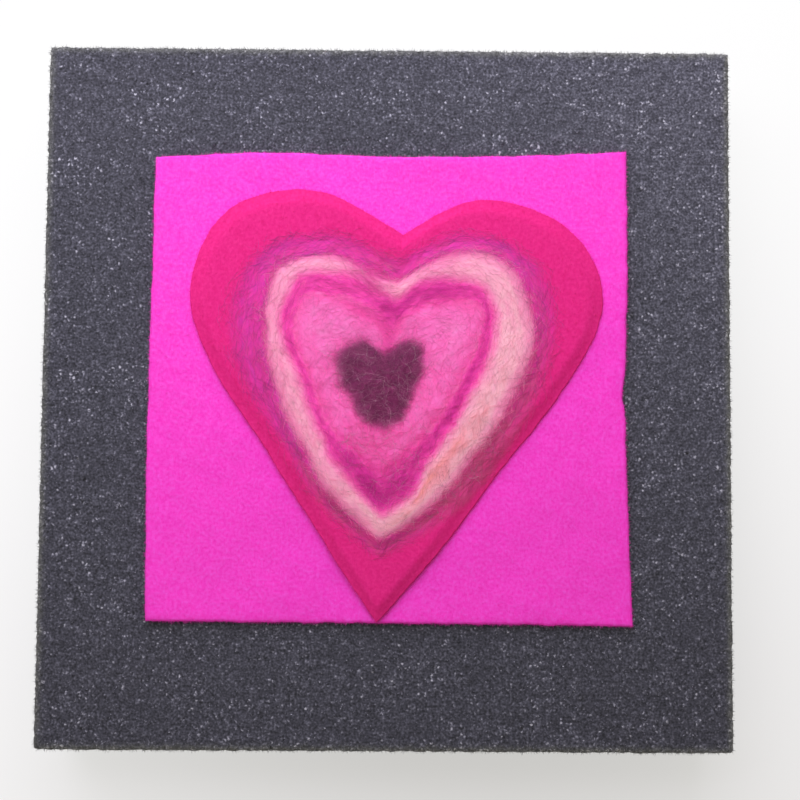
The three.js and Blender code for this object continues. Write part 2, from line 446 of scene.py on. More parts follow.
def foam_surface(low, high):
    """The block's top and sides as a grid of grains with rounded edges, closed by one flat face below."""
    low = np.array(low) - (FOAM_FRAY, FOAM_FRAY, 0)
    high = np.array(high) + (FOAM_FRAY, FOAM_FRAY, 0)
    cells = np.round((high - low) / FOAM_GRAIN).astype(int)
    across, up = np.meshgrid(
        np.linspace(low[0], high[0], cells[0] + 1), np.linspace(low[1], high[1], cells[1] + 1)
    )
    top = np.stack([across, up, np.full_like(across, high[2])], axis=-1).reshape(-1, 3)
    index = np.arange(len(top)).reshape(across.shape)
    rim = grid_rim(index)
    rows = [top]
    for level in np.linspace(high[2], low[2], cells[2] + 1)[1:]:
        rows.append(np.column_stack([top[rim, :2], np.full(len(rim), level)]))
    inset = np.clip(top[rim], low + FOAM_EDGE_ROUND, high - FOAM_EDGE_ROUND)
    rows.append(np.column_stack([inset[:, :2], np.full(len(rim), low[2])]))
    square = np.concatenate(rows)
    core = np.clip(square, low + FOAM_EDGE_ROUND, high - FOAM_EDGE_ROUND)
    normal = square - core
    normal /= np.linalg.norm(normal, axis=1, keepdims=True)
    is_open = np.arange(len(square)) < len(square) - len(rim)
    # Open cells lie below the saw cut, and are shaken about so that no rows show.
    rng = np.random.default_rng(SEED)
    deep = rng.uniform(0, 1, len(square)) * is_open
    shake = rng.uniform(-FOAM_SHAKE, FOAM_SHAKE, square.shape) * FOAM_GRAIN
    shake -= normal * np.sum(shake * normal, axis=1, keepdims=True)
    stand = FOAM_PORE_DEPTH * (FOAM_CREST - deep) * is_open
    points = core + normal * (FOAM_EDGE_ROUND + stand)[:, None] + shake * is_open[:, None]
    points[:, 2] = np.maximum(points[:, 2], low[2])
    # The painted glints lie in loose clusters.
    x, y, z = square.T
    clusters = 1 + 0.4 * ripple(x + z, y - z, FOAM_CLUSTER, 5)
    clusters = clusters + 0.3 * ripple(x - z, y + z, 4 * FOAM_CLUSTER, 6)
    # Painted light, with some lint, lightens the right side a little, most at the far corner.
    painted_light_and_lint = step_up((x - low[0]) / (high[0] - low[0]) + 0.6 * (y - low[1]) / (high[1] - low[1]), 0.9, 1.6)
    # How far in from the rim of the top, and twice as far when down the sides
    inwards = np.minimum(np.minimum(x - low[0], high[0] - x), np.minimum(y - low[1], high[1] - y))
    edge = 1 - step_up(inwards + 2 * (high[2] - z), 0, FOAM_EDGE_ZONE)
    loops = [rim] + [len(top) + k * len(rim) + np.arange(len(rim)) for k in range(cells[2] + 1)]
    # Each quad is split along its shorter diagonal, so that no slant shows.
    a, b, c, d = np.concatenate([grid_quads(index)] + wall_quads(loops)).T
    split = np.linalg.norm(points[a] - points[c], axis=1) < np.linalg.norm(points[b] - points[d], axis=1)
    first = np.where(split, [a, b, c], [a, b, d]).T
    second = np.where(split, [a, c, d], [b, c, d]).T
    faces = first.tolist() + second.tolist()
    faces.append(loops[-1][::-1].tolist())
    mesh = mesh_from("foam", points, faces)
    # Deeper pores are painted darker, as painted shade.
    set_attribute(mesh, "shade", FOAM_SHADE - FOAM_PORE_SHADE * deep + FOAM_PAINTED_LIGHT_AND_LINT * painted_light_and_lint)
    set_attribute(mesh, "clusters", np.clip(clusters, 0.2, 2.0))
    set_attribute(mesh, "edge", edge * is_open)
    set_attribute(mesh, "struts", is_open)
    return mesh


def foam_tree():
    """Cut struts that stand up all over the sawn faces, and thin whiskers that fray round the top's rim."""
    tree, sizes = new_tree("foam struts", Float=FOAM_SIZES, Material=["Material"], Int=["Seed"])
    together = add(tree, "GeometryNodeJoinGeometry", [sizes["Geometry"]])
    for kind, where, darkest, lightest in (("Strut", "struts", 0.3, 0.85), ("Whisker", "edge", 0.2, 0.8)):
        share = add(tree, READ, [where], data_type="FLOAT")
        density = add(tree, MATH, [sizes[kind + "s per m2"], share], operation="MULTIPLY")
        length = sizes[kind + " length"]
        width = sizes[kind + " width"]
        spikes = add_spikes(tree, sizes["Geometry"], density, length, width, FOAM_LEAN, sizes["Seed"])
        own = add(tree, RANDOM, {2: darkest, 3: lightest, "Seed": 17}, data_type="FLOAT").outputs[1]
        stored = {"Geometry": spikes, "Name": "shade", "Value": own}
        toned = add(tree, STORE, stored, data_type="FLOAT", domain="INSTANCE")
        tree.links.new(toned.outputs[0], together.inputs[0])
    return end_tree(tree, together, sizes["Material"])


# The foam's own map: scales of its faces, and where the second and third row or column of faces start
FOAM_MAP_SCALE = 3.3
FOAM_UNDER_SCALE = 1.3
FOAM_MAP_STARTS = (0.01, 0.72, 0.85)


def lay_out_faces(mesh, low, high):
    """A UV map with the faces side by side: the top, the underside at a smaller size, and the four sides."""
    counts = np.zeros(len(mesh.polygons), np.int32)
    mesh.polygons.foreach_get("loop_total", counts)
    corners = corners_of(mesh)
    middles = np.zeros(len(mesh.polygons) * 3)
    mesh.polygons.foreach_get("center", middles)
    x, y, z = middles.reshape(-1, 3).T
    facing = np.argmax([z - high[2], low[2] - z, x - high[0], low[0] - x, y - high[1], low[1] - y], axis=0)
    facing = np.repeat(facing, counts)
    x, y, z = (places_of(mesh)[corners] - np.array(low)).T
    near, far, last = FOAM_MAP_STARTS
    # For each face: which lengths run across and up the map, how large, and where it starts
    layout = (
        (x, y, FOAM_MAP_SCALE, near, near),
        (x, y, FOAM_UNDER_SCALE, far, far),
        (y, z, FOAM_MAP_SCALE, near, far),
        (y, z, FOAM_MAP_SCALE, near, last),
        (z, x, FOAM_MAP_SCALE, far, near),
        (z, x, FOAM_MAP_SCALE, last, near),
    )
    places = np.zeros((len(corners), 2))
    for face, (across, up, scale, left, bottom) in enumerate(layout):
        chosen = facing == face
        places[chosen, 0] = left + scale * across[chosen]
        places[chosen, 1] = bottom + scale * up[chosen]
    set_corner_uv(mesh, "OFBake", np.clip(places, 0, 1))


def make_foam():
    low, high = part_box("foam_pad")
    sizes = FOAM_SIZES | {"Material": foam_material(), "Seed": SEED}
    mesh = run_tree(foam_surface(low, high), foam_tree(), sizes)
    # Nothing sticks out below the underside, which lies on the table.
    places = places_of(mesh)
    places[:, 2] = np.maximum(places[:, 2], low[2])
    mesh.vertices.foreach_set("co", places.ravel())
    lay_out_faces(mesh, low, high)
    foam = new_object("foam_block", mesh)
    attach(foam, "mat")
    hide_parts("foam_pad")


def work_piece(name, mesh, slot, *nodes):
    """A piece of the felt work, which may stand for some of its solids."""
    piece = new_object(name, mesh)
    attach(piece, "felt_work")
    if nodes:
        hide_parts(*nodes)
    return piece


# Outlines, read from the solids
def points_of(node):
    return np.unique(places_of(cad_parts[node].data).round(7), axis=0)


def polar(points, middle):
    apart = points[:, :2] - middle
    return np.arctan2(apart[:, 1], apart[:, 0]) % FULL_TURN, np.hypot(apart[:, 0], apart[:, 1])


class Outline:
    """The distance from a middle point to a closed outline, at any bearing."""

    SAMPLES = 1440

    def __init__(self, bearings, reaches, soften_deg=0.0, points_deg=()):
        """Softens the line over soften_deg, but leaves it sharp at its points."""
        order = np.argsort(bearings)
        self.bearings = np.arange(self.SAMPLES) * FULL_TURN / self.SAMPLES
        self.reaches = np.interp(self.bearings, bearings[order], reaches[order], period=FULL_TURN)
        if soften_deg:
            away = np.minimum(self.bearings, FULL_TURN - self.bearings)
            weight = np.exp(-0.5 * (np.degrees(away) / soften_deg) ** 2)
            blurred = np.fft.ifft(np.fft.fft(self.reaches) * np.fft.fft(weight / weight.sum())).real
            soft = np.ones(self.SAMPLES)
            for point in points_deg:
                soft = soft * (1 - near_bearing(np.degrees(self.bearings), point, 4 * soften_deg))
            self.reaches = self.reaches + soft * (blurred - self.reaches)

    def __call__(self, bearing):
        return np.interp(np.asarray(bearing) % FULL_TURN, self.bearings, self.reaches, period=FULL_TURN)


SAME_LEVEL = 1e-6
TINY_REACH = 1e-4


def wool_outline(node, middle):
    """The outer edge of a wool band's foot, which lies outside the line of its crown."""
    points = points_of(node)
    height = points[:, 2]
    crown = points[height > height.max() - SAME_LEVEL]
    bearings, reaches = polar(points[height < height.min() + SAME_LEVEL], middle)
    inside = np.full(len(bearings), TINY_REACH)
    if len(crown) > 1:
        inside = Outline(*polar(crown, middle))(bearings)
    outer = reaches > inside
    return Outline(bearings[outer], reaches[outer], soften_deg=1.6)


WOOL_NODES = (
    "violet_wool_band",
    "pale_pink_wool_band",
    "magenta_wool_band",
    "pink_wool_band",
    "plum_wool_heart",
)
WOOLS = range(len(WOOL_NODES))
VIOLET, PALE, MAGENTA, PINK, PLUM = WOOLS
# The bearings of the heart's cleft and tip
HEART_POINTS_DEG = (84, 268)
# Where the scissors left the solid's outline: bearing and half width in degrees, and millimetres inwards.
# They cut a little inside it along both flanks, and a little outside it at the tip.
HEART_CUTS = ((0, 30, 1.3), (216, 56, 0.9), (245, 18, 0.6), (270, 9, -0.6), (319, 45, 0.9))

plum_points = points_of("plum_wool_heart")
HEART_MIDDLE = plum_points[np.argmax(plum_points[:, 2])][:2]
heart_edge = Outline(
    *polar(points_of("felt_heart"), HEART_MIDDLE), soften_deg=3.0, points_deg=HEART_POINTS_DEG
)
for flank, half_width, inside in HEART_CUTS:
    heart_edge.reaches -= inside * MM * near_bearing(np.degrees(heart_edge.bearings), flank, half_width)
wool_edges = [wool_outline(node, HEART_MIDDLE) for node in WOOL_NODES]


# Felt
FELT_CLUMP = 0.9 * MM
FELT_FIBRE_WIDTH = 0.12 * MM
FELT_FIBRE_LENGTH = 1.6 * MM
FELT_TURNS = (0.5, -0.9, 2.0)
FELT_BUMP = 0.25 * MM


def crossed_streaks(tree, place, turns, scale, noise):
    """Noise drawn out into streaks and laid across itself at three turns, where the highest shows."""
    layers = []
    for turn in turns:
        lay = add(tree, "ShaderNodeMapping", {"Vector": place, "Rotation": (0, 0, turn), "Scale": scale})
        layers.append(add(tree, "ShaderNodeTexNoise", {"Vector": lay, "Scale": 1.0} | noise))
    pair = add(tree, MATH, layers[:2], operation="MAXIMUM")
    return add(tree, MATH, [pair, layers[2]], operation="MAXIMUM")


def felt_material(name, colours, stained=False):
    """Craft felt, matted and pressed from dyed fibres.

    It is matt and softly mottled, and its nap lightens it where it is seen edge on. The fibres are about
    0.02 mm thick, which is too fine to show, so they are drawn at 0.12 mm.
    """
    material, tree, shader = new_material(
        name,
        {
            "Roughness": 0.92,
            "Specular IOR Level": 0.12,
            "Sheen Weight": 0.15,
            "Sheen Roughness": 0.5,
            "Sheen Tint": linear(colours[2]),
        },
    )
    place = add(tree, "ShaderNodeTexCoord").outputs["Object"]
    clumps = add(tree, "ShaderNodeTexNoise", {"Vector": place, "Scale": 1 / FELT_CLUMP, "Detail": 3.0})
    scale = (1 / FELT_FIBRE_WIDTH, 1 / FELT_FIBRE_LENGTH, 1 / FELT_FIBRE_LENGTH)
    nap = crossed_streaks(tree, place, FELT_TURNS, scale, {"Detail": 1.0, "Distortion": 0.6})
    mottle = add(tree, MATH, [clumps, 0.55], operation="MULTIPLY")
    mixed = add(tree, MATH, [nap, 0.4, mottle], operation="MULTIPLY_ADD")
    stops = ((0.36, colours[0]), (0.66, colours[2]), (0.5, colours[1]))
    colour = add(tree, "ShaderNodeValToRGB", [mixed], stops=stops).outputs["Color"]
    if stained:
        # Needled through with wool: the wool's dye shows as far as the stain attribute says.
        share = add(tree, "ShaderNodeAttribute", attribute_name="stain").outputs["Fac"]
        dye = add(tree, "ShaderNodeAttribute", attribute_name="dye").outputs["Color"]
        colour = add(tree, "ShaderNodeMix", {0: share, 6: colour, 7: dye}, data_type="RGBA").outputs[2]
    tree.links.new(colour, shader.inputs["Base Color"])
    bump = add(tree, "ShaderNodeBump", {"Height": mixed, "Strength": 0.7, "Distance": FELT_BUMP})
    tree.links.new(bump.outputs[0], shader.inputs["Normal"])
    return material


NAP_SIZES = {"Fibres per m2": 7_000_000.0, "Length": 0.9 * MM, "Thickness": 0.07 * MM}
NAP_LEAN = 1.25
# The nap on the flat of the felt, as a share of that along its cut edges
FELT_FLAT_NAP = 0.16


def nap_tree():
    """Short fibres that stand out from felt, as many as its nap attribute asks for."""
    tree, sizes = new_tree("felt nap", Float=NAP_SIZES, Material=["Material"], Int=["Seed"])
    share = add(tree, READ, ["nap"], data_type="FLOAT")
    density = add(tree, MATH, [share, sizes["Fibres per m2"]], operation="MULTIPLY")
    radius = add(tree, MATH, [sizes["Thickness"], 0.5], operation="MULTIPLY")
    hairs = add_spikes(tree, sizes["Geometry"], density, sizes["Length"], radius, NAP_LEAN, sizes["Seed"])
    return end_tree(tree, hairs, sizes["Material"])


def make_nap(felt, slot, share, middle, span):
    """The nap of a piece of felt, from its share at each vertex. It rides with the felt, in its colour."""
    start = felt.data.copy()
    set_attribute(start, "nap", share)
    mesh = run_tree(start, nap_tree(), NAP_SIZES | {"Material": felt.data.materials[0], "Seed": SEED})
    set_flat_uv(mesh, places_of(mesh), middle, span)
    return work_piece(felt.name + "_nap", mesh, slot)


BACKING_COLOURS = ("#fa37c3", "#ff46cf", "#ff5bdd")
HEART_COLOURS = ("#de227a", "#e62983", "#ee348c")
# Steps round a cut edge between the top and the underside, and how much wider than round it is
EDGE_ARC_DEG = (60, 30, 0, -30, -60)
EDGE_WIDEN = 1.2
BACKING_CELLS = 120
# The backing lies this much below the level of its solid.
BACKING_SETTLE = 0.15 * MM
BACKING_MAP_SPAN = 2.2
# The cut line is averaged over this many points either way, twice.
CUT_BLUR = 6
RIGHT_SIDE = 1
# The nick in the right edge is a slanting cut, deepest level with the middle of the mat.
NICK_LEVEL = 0.0
NICK_DEPTH = 0.9 * MM
NICK_ABOVE = 9 * MM
NICK_BELOW = 4 * MM


def backing_sides():
    """The four cut edges of the backing felt, as rows of points from corner to corner."""
    low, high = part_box("felt_square")
    points = np.unique(points_of("felt_square")[:, :2], axis=0)
    middle = (np.array(low[:2]) + np.array(high[:2])) / 2
    bearings, _ = polar(points, middle)
    points = points[np.argsort(bearings)]
    corners = []
    for corner in ((-1, -1), (1, -1), (1, 1), (-1, 1)):
        corners.append(int(np.argmax((points - middle) @ np.array(corner))))
    share = np.linspace(0, 1, BACKING_CELLS + 1)
    blur = np.ones(2 * CUT_BLUR + 1) / (2 * CUT_BLUR + 1)
    sides = []
    for start, end in zip(corners, corners[1:] + corners[:1]):
        count = (end - start) % len(points)
        run = points[(start + np.arange(count + 1)) % len(points)]
        along = np.concatenate([[0], np.cumsum(np.hypot(*np.diff(run, axis=0).T))])
        side = np.stack([np.interp(share * along[-1], along, run[:, axis]) for axis in (0, 1)], axis=1)
        # Averaging takes the kinks out of the cut line, and the ends stay.
        chord = side[0] + (side[-1] - side[0]) * share[:, None]
        stray = side - chord
        for _ in range(2):
            longer = np.concatenate([-stray[CUT_BLUR:0:-1], stray, -stray[-2 : -CUT_BLUR - 2 : -1]])
            stray = np.stack([np.convolve(longer[:, axis], blur, "valid") for axis in (0, 1)], axis=1)
        side = chord + stray
        ends = np.minimum(1, np.minimum(share, 1 - share) * 12)
        outward = np.array([side[-1, 1] - side[0, 1], side[0, 0] - side[-1, 0]])
        outward /= np.hypot(*outward)
        snips = 0.1 * MM * ripple(side[:, 0], side[:, 1], 9 * MM, 1 + len(sides))
        snips = snips + 0.05 * MM * ripple(side[:, 0], side[:, 1], 3 * MM, 11 + len(sides))
        shift = snips * ends
        if len(sides) == RIGHT_SIDE:
            up = side[:, 1] - NICK_LEVEL
            shift = shift - NICK_DEPTH * (1 - step_up(up, 0, NICK_ABOVE)) * (1 - step_up(-up, 0, NICK_BELOW))
        sides.append(side + outward * shift[:, None])
    return sides, middle


def backing_wave(x, y, middle, half):
    """How far the backing felt stands off the foam: barely in the middle, a little more at its edges."""
    nearness = np.maximum(np.abs(x - middle[0]) / half[0], np.abs(y - middle[1]) / half[1])
    curl = step_up(nearness, 0.8, 1.0) * (0.35 + 0.35 * ripple(x, y, 45 * MM, 21))
    return MM * (0.12 * ripple(x, y, 30 * MM, 22) + 0.05 * ripple(x, y, 7 * MM, 23) + np.maximum(curl, 0))


def make_backing():
    (bottom, right, top, left), middle = backing_sides()
    top = top[::-1]
    left = left[::-1]
    half = np.array([np.ptp(bottom[:, 0]), np.ptp(left[:, 1])]) / 2
    u, v = np.meshgrid(np.linspace(0, 1, BACKING_CELLS + 1), np.linspace(0, 1, BACKING_CELLS + 1))
    u = u[..., None]
    v = v[..., None]
    grid = (1 - v) * bottom[None] + v * top[None] + (1 - u) * left[:, None] + u * right[:, None]
    grid -= (1 - u) * (1 - v) * bottom[0] + u * (1 - v) * bottom[-1] + (1 - u) * v * top[0] + u * v * top[-1]
    grid = grid.reshape(-1, 2)
    thick = BACKING_TOP - BACKING_UNDER
    mean = (BACKING_TOP + BACKING_UNDER) / 2 - BACKING_SETTLE
    size = BACKING_CELLS + 1
    index = np.arange(size * size).reshape(size, size)
    rim = grid_rim(index)
    points = []
    for arc in (90,) + EDGE_ARC_DEG + (-90,):
        inset = thick / 2 * (1 - math.cos(math.radians(arc))) * EDGE_WIDEN
        spot = grid if abs(arc) == 90 else grid[rim]
        spot = middle + (spot - middle) * (1 - inset / half)
        level = mean + backing_wave(spot[:, 0], spot[:, 1], middle, half)
        points.append(np.column_stack([spot, level + thick / 2 * math.sin(math.radians(arc))]))
    points = np.concatenate(points)
    cells = grid_quads(index)
    ring = len(rim)
    under = len(grid) + ring * len(EDGE_ARC_DEG)
    loops = [rim] + [len(grid) + k * ring + np.arange(ring) for k in range(len(EDGE_ARC_DEG))] + [under + rim]
    faces = np.concatenate([cells, (under + cells)[:, ::-1]] + wall_quads(loops))
    mesh = mesh_from("backing_felt", points, faces, felt_material("magenta craft felt", BACKING_COLOURS))
    set_flat_uv(mesh, points, middle, BACKING_MAP_SPAN * half)
    backing = work_piece("backing_felt", mesh, "backing_felt", "felt_square")
    share = np.full(len(points), FELT_FLAT_NAP)
    share[len(grid) : under] = 1.0
    share[under:] = 0.0
    return backing, make_nap(backing, "backing_felt", share, middle, BACKING_MAP_SPAN * half)


# Felt heart
HEART_BEARINGS = 540
HEART_RINGS = 60
HEART_MAP_SPAN = 160 * MM
# How high the heart stands off the backing, towards which bearing, and how far out that starts and ends
HEART_LIFT = 0.9 * MM
HEART_LIFT_BEARING = math.radians(238)
HEART_LIFT_RUN = (5 * MM, 62 * MM)
# The scissors and the needle press the cut edge to this share of the felt's thickness, over this width.
HEART_EDGE_SHARE = 0.4
HEART_EDGE_WIDTH = 4 * MM
# The pressed edge also comes down towards the backing felt, by this much.
HEART_EDGE_SINK = 0.25 * MM
# The violet wool's stain on the felt is widest at the lower right.
STAIN_WIDEST_DEG = 312


def edge_press(inwards):
    """1 at the heart's cut edge, falling to 0 where the felt has its full thickness."""
    return 1 - step_up(inwards, 0, HEART_EDGE_WIDTH)


def heart_rise(x, y):
    """The heart is tacked down near its cleft, and its lower left flank and tip stand off the backing."""
    along = (x - HEART_MIDDLE[0]) * math.cos(HEART_LIFT_BEARING)
    along = along + (y - HEART_MIDDLE[1]) * math.sin(HEART_LIFT_BEARING)
    return HEART_LIFT * step_up(along, *HEART_LIFT_RUN) + MM * 0.1 * ripple(x, y, 22 * MM, 31)


def heart_places(bearing, reach):
    return HEART_MIDDLE[0] + reach * np.cos(bearing), HEART_MIDDLE[1] + reach * np.sin(bearing)


def turn_round(steps):
    """Even bearings all the way round."""
    return np.arange(steps) * FULL_TURN / steps


def make_heart():
    bearing = turn_round(HEART_BEARINGS)
    edge = heart_edge(bearing)
    x, y = heart_places(bearing, edge)
    edge = edge + 0.08 * MM * ripple(x, y, 9 * MM, 33) + 0.05 * MM * ripple(x, y, 3 * MM, 34)
    thick = HEART_TOP - HEART_UNDER
    shares = np.linspace(0, 1, HEART_RINGS + 1)[1:]
    # From the middle of the underside out to the edge, round it, and in over the top
    path = [(share, -90) for share in shares]
    path += [(1.0, arc) for arc in EDGE_ARC_DEG[::-1]]
    path += [(share, 90) for share in shares[::-1]]
    rings = []
    for share, arc in path:
        pressed = edge_press(edge * (1 - share))
        half = thick / 2 * (1 - (1 - HEART_EDGE_SHARE) * pressed)
        inset = half * (1 - math.cos(math.radians(arc))) * EDGE_WIDEN
        x, y = heart_places(bearing, (edge - inset) * share)
        level = HEART_UNDER + heart_rise(x, y) - HEART_EDGE_SINK * pressed
        level = level + half * (1 + math.sin(math.radians(arc)))
        rings.append(np.column_stack([x, y, level]))
    level = HEART_UNDER + float(heart_rise(*HEART_MIDDLE))
    points = np.concatenate(rings + [[[*HEART_MIDDLE, level], [*HEART_MIDDLE, level + thick]]])
    faces = loop_quads(len(rings), HEART_BEARINGS).tolist() + cap(len(rings), HEART_BEARINGS)
    material = felt_material("crimson craft felt", HEART_COLOURS, stained=True)
    mesh = mesh_from("heart_felt", points, faces, material)
    bearings, reaches = polar(points, HEART_MIDDLE)
    outer = wool_edge(VIOLET, bearings)
    share = (outer - reaches) / (outer - wool_edge(PALE, bearings))
    patchy = 0.85 + 0.15 * ripple(points[:, 0], points[:, 1], 5 * MM, 36)
    wide = near_bearing(np.degrees(bearings), STAIN_WIDEST_DEG, 60)
    stain = step_up(share + 0.25 * wide, -0.05, 0.45 - 0.1 * wide) * patchy
    set_attribute(mesh, "stain", np.clip(stain, 0, 1))
    set_attribute(mesh, "dye", wool_colour(bearings, reaches))
    set_flat_uv(mesh, points, HEART_MIDDLE, HEART_MAP_SPAN)
    heart = work_piece("heart_felt", mesh, "heart_felt", "felt_heart")
    under = HEART_RINGS * HEART_BEARINGS
    top = under + len(EDGE_ARC_DEG) * HEART_BEARINGS
    nap = np.zeros(len(points))
    nap[under:top] = 1.0
    nap[top:] = np.where(share[top:] < 0.3, FELT_FLAT_NAP, 0.0)
    return heart, make_nap(heart, "heart_felt", nap, HEART_MIDDLE, HEART_MAP_SPAN)


# Needled wool: one relief for all five colours, in millimetres over the felt heart
SEAM_HEIGHTS = (0.0, 0.8, 1.6, 1.6, 1.6)
BULGES = (0.0, 0.35, 0.0, 0.3, 0.2)
# How far each colour mixes with the one outside it, either side of the line where they meet
BLENDS = (2.0 * MM, 0.9 * MM, 2.0 * MM, 2.2 * MM, 1.5 * MM)
# The violet wool is a solid layer only in its inner part, and loose fibres further out.
SOLID_FROM = (0.4, 0.0, 0.0, 0.0, 0.0)
PRICK_COUNT = 300
PRICK_RADIUS = 0.45 * MM
PRICK_DEPTH = 0.06 * MM
# How much darker the wool is painted in a prick: painted shade in the hole
PRICK_SHADE = 0.2
# Where the hand-laid wool strays from its solid, for its outer edge: bearing and half width in degrees, and
# millimetres outwards
STRAYS_OUT = {
    PALE: ((49, 22, 2.8), (116, 16, 0.9), (225, 14, -0.8), (272, 28, 1.0), (308, 34, -1.1), (350, 20, -0.6)),
    MAGENTA: (
        (45, 12, 1.3),
        (73, 10, 1.2),
        (98, 9, -1.6),
        (129, 12, 1.4),
        (150, 9, 1.0),
        (235, 10, 1.4),
        (258, 36, 1.2),
        (281, 16, 3.0),
        (346, 16, -0.9),
    ),
    PINK: ((15, 40, -1.0), (122, 28, -1.4), (185, 50, -1.5)),
    PLUM: (
        (32, 14, -0.6),
        (62, 18, 0.8),
        (98, 12, -0.9),
        (124, 12, 1.8),
        (192, 16, 1.2),
        (230, 14, 0.6),
        (284, 24, 0.8),
    ),
}


def wool_edge(index, bearing):
    """The outer edge of a wool colour, with the wander of hand-laid wool."""
    reach = wool_edges[index](bearing)
    for middle, half_width, outwards in STRAYS_OUT.get(index, ()):
        reach = reach + outwards * MM * near_bearing(np.degrees(bearing), middle, half_width)
    x, y = heart_places(bearing, reach)
    reach = reach + 0.16 * MM * ripple(x, y, 9 * MM, 41 + index)
    return reach + 0.08 * MM * ripple(x, y, 2.5 * MM, 51 + index)


def needle_pricks():
    """Places where the felting needle went in deepest, on the pale pink and the pink wool."""
    rng = np.random.default_rng(61)
    bearing = rng.uniform(0, FULL_TURN, PRICK_COUNT)
    share = rng.uniform(0.1, 0.9, PRICK_COUNT)
    index = np.where(rng.uniform(0, 1, PRICK_COUNT) < 0.6, PALE, PINK)
    edges = np.stack([wool_edge(k, bearing) for k in WOOLS])
    outer = np.take_along_axis(edges, index[None], 0)[0]
    inner = np.take_along_axis(edges, index[None] + 1, 0)[0]
    return np.stack(heart_places(bearing, outer + (inner - outer) * share), axis=1)


PRICKS = needle_pricks()


def prick_share(x, y):
    """1 at a needle prick, 0 a radius away from it."""
    flat = np.stack([np.ravel(x), np.ravel(y)], axis=1)
    nearest = np.full(len(flat), 1.0)
    for spot in PRICKS:
        nearest = np.minimum(nearest, np.hypot(flat[:, 0] - spot[0], flat[:, 1] - spot[1]))
    return (1 - step_up(nearest, 0, PRICK_RADIUS)).reshape(np.shape(x))


def wool_height(bearing, reach):
    """The height of the wool over the felt heart's top."""
    edges = [wool_edge(k, bearing) for k in WOOLS] + [np.zeros_like(reach)]
    height = np.zeros_like(reach)
    for k in WOOLS:
        share = (edges[k] - reach) / (edges[k] - edges[k + 1])
        inside = (share >= 0) & (share <= 1)
        share = np.clip(share, 0, 1)
        if k == PLUM:
            form = SEAM_HEIGHTS[k] + BULGES[k] * step_up(share, 0, 0.7)
        else:
            # The violet wool is a film that thickens only towards the pale pink wool.
            climb = step_up(share, SOLID_FROM[k], 1.0) if k == VIOLET else share
            form = SEAM_HEIGHTS[k] + (SEAM_HEIGHTS[k + 1] - SEAM_HEIGHTS[k]) * climb
            form = form + BULGES[k] * 4 * share * (1 - share)
        height = np.where(inside, form, height)
    x, y = heart_places(bearing, reach)
    lumps = 0.05 * ripple(x, y, 10 * MM, 62) + 0.01 * ripple(x, y, 3.5 * MM, 63)
    return MM * height * (1 + lumps)


def wool_level(bearing, reach):
    x, y = heart_places(bearing, reach)
    return HEART_TOP + heart_rise(x, y) + wool_height(bearing, reach) - PRICK_DEPTH * prick_share(x, y)


# Colours of each wool as stops on a ramp, mostly from dark to light
VIOLET_STOPS = ((0.0, "#9c3464"), (1.0, "#cc3eaa"), (0.3, "#d8508a"), (0.55, "#e03a92"), (0.75, "#e638a4"))
PALE_STOPS = (
    (0.0, "#dc4a97"),
    (1.0, "#ffa88c"),
    (0.2, "#f686b8"),
    (0.42, "#ffa6c8"),
    (0.6, "#ffc0ce"),
    (0.76, "#fca6b4"),
)
MAGENTA_STOPS = ((0.0, "#b41c7c"), (1.0, "#ffb0cc"), (0.3, "#de329a"), (0.58, "#ff52b8"), (0.82, "#ff80c0"))
PINK_STOPS = ((0.0, "#e04098"), (1.0, "#ffd0e6"), (0.3, "#f858af"), (0.55, "#ff78c6"), (0.8, "#ff98d4"))
PLUM_STOPS = ((0.0, "#64214c"), (1.0, "#e89cc4"), (0.35, "#862e60"), (0.65, "#a23f76"), (0.85, "#c06096"))
VIOLET_FIBRE = "#8c3a9c"
STRAY_STOPS = ((0.0, "#a05c80"), (1.0, "#e2b8c8"), (0.5, "#c084a0"))
WOOL_SLOTS = ("violet_wool", "pale_pink_wool", "magenta_wool", "pink_wool", "plum_wool")
WOOL_STOPS = (VIOLET_STOPS, PALE_STOPS, MAGENTA_STOPS, PINK_STOPS, PLUM_STOPS)
WOOL_FIBRE_WIDTH = 0.1 * MM
WOOL_FIBRE_LENGTH = 1.8 * MM
WOOL_TURNS = (0.0, 0.45, -0.5)
WOOL_BUMP = 0.08 * MM


